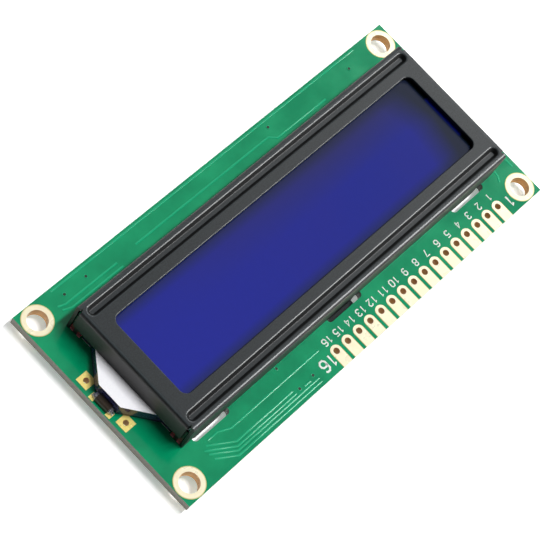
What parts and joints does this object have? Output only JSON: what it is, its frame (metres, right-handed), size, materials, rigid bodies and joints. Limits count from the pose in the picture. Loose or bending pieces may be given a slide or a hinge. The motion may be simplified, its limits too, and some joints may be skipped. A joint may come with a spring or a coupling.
{
  "type": "character lcd module",
  "caption": "Character display module: glass display in a black steel bezel, edge light and contact strips on a green circuit board with corner holes and a pin row.",
  "frame": {"origin": "centre of the four corner holes, on the board's back face", "axes": "+X along the lines of text in reading order, +Y towards the pin row's edge, +Z out of the display towards the reader"},
  "size_m": [0.08, 0.036, 0.0101],
  "materials": {
    "solder_mask": "semi-gloss green solder mask on glass-fibre laminate",
    "gold_plate": "thin gold plating on copper",
    "bezel_paint": "satin black paint on pressed steel sheet",
    "polarizer": "smooth blue polarizing film",
    "display_glass": "clear thin glass",
    "seal_resin": "cured resin",
    "strip_rubber": "pink silicone rubber with a dark conducting core",
    "white_film": "matte white film",
    "acrylic": "polished clear acrylic",
    "diode_plastic": "dark moulded package",
    "tin": "bright tin and solder",
    "cap_resin": "black glossy resin",
    "chip_black": "black overcoat on a ceramic chip",
    "chip_tan": "tan ceramic chip"
  },
  "bodies": {
    "root": {"circuit_board": "solder_mask", "corner_plating": "gold_plate", "pin_plating": "gold_plate", "light_plating": "gold_plate", "contact_fingers": "gold_plate", "bezel": "bezel_paint", "front_polarizer": "polarizer", "front_glass": "display_glass", "cell_seal": "seal_resin", "port_seal": "seal_resin", "rear_glass": "display_glass", "rear_polarizer": "polarizer", "contact_strip_upper": "strip_rubber", "contact_strip_lower": "strip_rubber", "diffuser_film": "white_film", "light_guide": "acrylic", "reflector_film": "white_film", "funnel_cover": "white_film", "led_housing": "diode_plastic", "led_leads": "tin", "led_solder": "tin", "controller_cap": "cap_resin", "driver_cap": "cap_resin", "resistor_1": "chip_black", "resistor_2": "chip_black", "resistor_3": "chip_black", "resistor_4": "chip_black", "resistor_5": "chip_black", "resistor_6": "chip_black", "capacitor_1": "chip_tan", "capacitor_2": "chip_tan", "chip_solder": "tin"}
  },
  "joints": []
}
